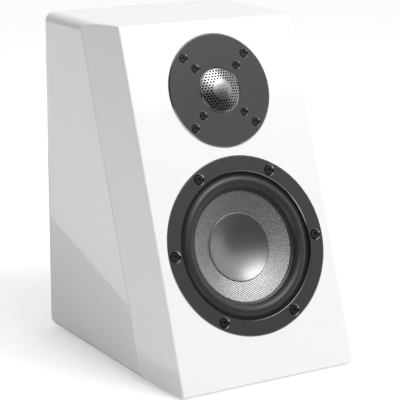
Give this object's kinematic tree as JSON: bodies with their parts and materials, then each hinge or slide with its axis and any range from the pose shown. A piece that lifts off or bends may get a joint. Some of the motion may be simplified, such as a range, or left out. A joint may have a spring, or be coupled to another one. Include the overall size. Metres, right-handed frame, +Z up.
{
  "type": "bookshelf speaker",
  "caption": "Two-way bookshelf speaker with a white tilted front, woven cone woofer, dome tweeter under a perforated guard, rear port and binding posts.",
  "frame": {"origin": "middle of the footprint, at the underside of the rubber feet", "axes": "+X to the right seen from the front, +Y towards the back, +Z up; the sloping front faces -Y"},
  "size_m": [0.22, 0.2651, 0.338],
  "materials": {
    "white_lacquer": "gloss white lacquer over fibreboard",
    "bare_board": "bare fibreboard",
    "grey_foam": "open-cell damping foam",
    "foot_rubber": "matt rubber",
    "plated_steel": "nickel-plated",
    "black_plastic": "fine texture, moulded",
    "brass": "turned",
    "frame_paint": "dark grey powder coat on a cast frame",
    "seal_foam": "closed-cell sealing strip",
    "roll_rubber": "satin butyl rubber",
    "spider_cloth": "resin-treated cloth",
    "zinc_steel": "zinc-plated",
    "ferrite": "sintered, ground faces",
    "tinned_brass": "tinned",
    "black_screw": "black oxide",
    "plate_paint": "satin dark grey",
    "grille_paint": "satin grey on perforated steel",
    "soft_roll": "doped fabric",
    "plated_brass": "gold-plated",
    "circuit_board": "glass-fibre board with solder mask",
    "nylon": "natural nylon",
    "copper_wire": "enamelled copper winding",
    "capacitor_film": "wrapped film",
    "ceramic_white": "cement body",
    "lead_sheath": "soft wire insulation, one red and one black in each pair",
    "cone_weave": "woven glass fibre under clear resin",
    "former_film": "polyimide film",
    "dome_metal": "anodised",
    "red_plastic": "clear-coated",
    "knob_black": "clear-coated"
  },
  "bodies": {
    "cabinet": {"front_baffle": "white_lacquer", "left_side_panel": "white_lacquer", "right_side_panel": "white_lacquer", "top_panel": "white_lacquer", "bottom_panel": "white_lacquer", "back_panel": "white_lacquer", "window_brace": "bare_board", "damping_pads": "grey_foam", "rubber_feet": "foot_rubber", "grille_magnets": "plated_steel", "port_tube": "black_plastic", "bracket_insert": "brass", "woofer_basket": "frame_paint", "woofer_gasket": "seal_foam", "woofer_surround": "roll_rubber", "woofer_spider": "spider_cloth", "woofer_top_plate": "zinc_steel", "woofer_magnet": "ferrite", "woofer_yoke": "zinc_steel", "woofer_terminals": "tinned_brass", "woofer_screws": "black_screw", "woofer_inserts": "brass", "tweeter_faceplate": "plate_paint", "tweeter_gasket": "seal_foam", "tweeter_grille": "grille_paint", "tweeter_diffuser": "grille_paint", "tweeter_surround": "soft_roll", "tweeter_top_plate": "zinc_steel", "tweeter_magnet": "ferrite", "tweeter_yoke": "zinc_steel", "tweeter_rear_cover": "black_plastic", "tweeter_terminals": "tinned_brass", "tweeter_mounting_screws": "black_screw", "tweeter_motor_screws": "black_screw", "terminal_cup": "black_plastic", "terminal_gasket": "seal_foam", "terminal_screws": "black_screw", "post_studs": "plated_brass", "post_collars": "plated_brass", "post_nuts": "zinc_steel", "crossover_board": "circuit_board", "board_standoffs": "nylon", "crossover_inductors": "copper_wire", "crossover_capacitors": "capacitor_film", "crossover_resistors": "ceramic_white", "woofer_leads": "lead_sheath", "tweeter_leads": "lead_sheath", "input_leads": "lead_sheath"},
    "woofer_diaphragm": {"woofer_cone": "cone_weave", "woofer_dust_cap": "cone_weave", "woofer_coil_former": "former_film", "woofer_voice_coil": "copper_wire"},
    "tweeter_diaphragm": {"tweeter_dome": "dome_metal", "tweeter_voice_coil": "copper_wire"},
    "red_washer": {"red_post_washer": "plated_brass"},
    "red_knob": {"red_post_knob": "red_plastic"},
    "black_washer": {"black_post_washer": "plated_brass"},
    "black_knob": {"black_post_knob": "knob_black"}
  },
  "joints": [
    {"name": "woofer_travel", "type": "slide", "parent": "cabinet", "child": "woofer_diaphragm", "axis": [0, -0.9397, 0.342], "range_m": [-0.005, 0.005], "stiffness_N_per_m": 1000, "deforming": ["woofer_surround", "woofer_spider"]},
    {"name": "tweeter_travel", "type": "slide", "parent": "cabinet", "child": "tweeter_diaphragm", "axis": [0, -0.9397, 0.342], "range_m": [-0.0004, 0.0004], "stiffness_N_per_m": 900, "deforming": ["tweeter_surround"]},
    {"name": "red_post_lift", "type": "slide", "parent": "cabinet", "child": "red_washer", "axis": [0, 1, 0], "range_m": [0, 0.00499]},
    {"name": "red_post_turn", "type": "hinge", "parent": "red_washer", "child": "red_knob", "pos_m": [0.015, 0.125, 0.076], "axis": [0, 1, 0], "range_deg": [0, 1800]},
    {"name": "black_post_lift", "type": "slide", "parent": "cabinet", "child": "black_washer", "axis": [0, 1, 0], "range_m": [0, 0.00499]},
    {"name": "black_post_turn", "type": "hinge", "parent": "black_washer", "child": "black_knob", "pos_m": [-0.015, 0.125, 0.076], "axis": [0, 1, 0], "range_deg": [0, 1800]}
  ],
  "couplings": [
    {"joint": "red_post_turn", "follows": "red_post_lift", "rad_per_m": 6283.2},
    {"joint": "black_post_turn", "follows": "black_post_lift", "rad_per_m": 6283.2}
  ]
}
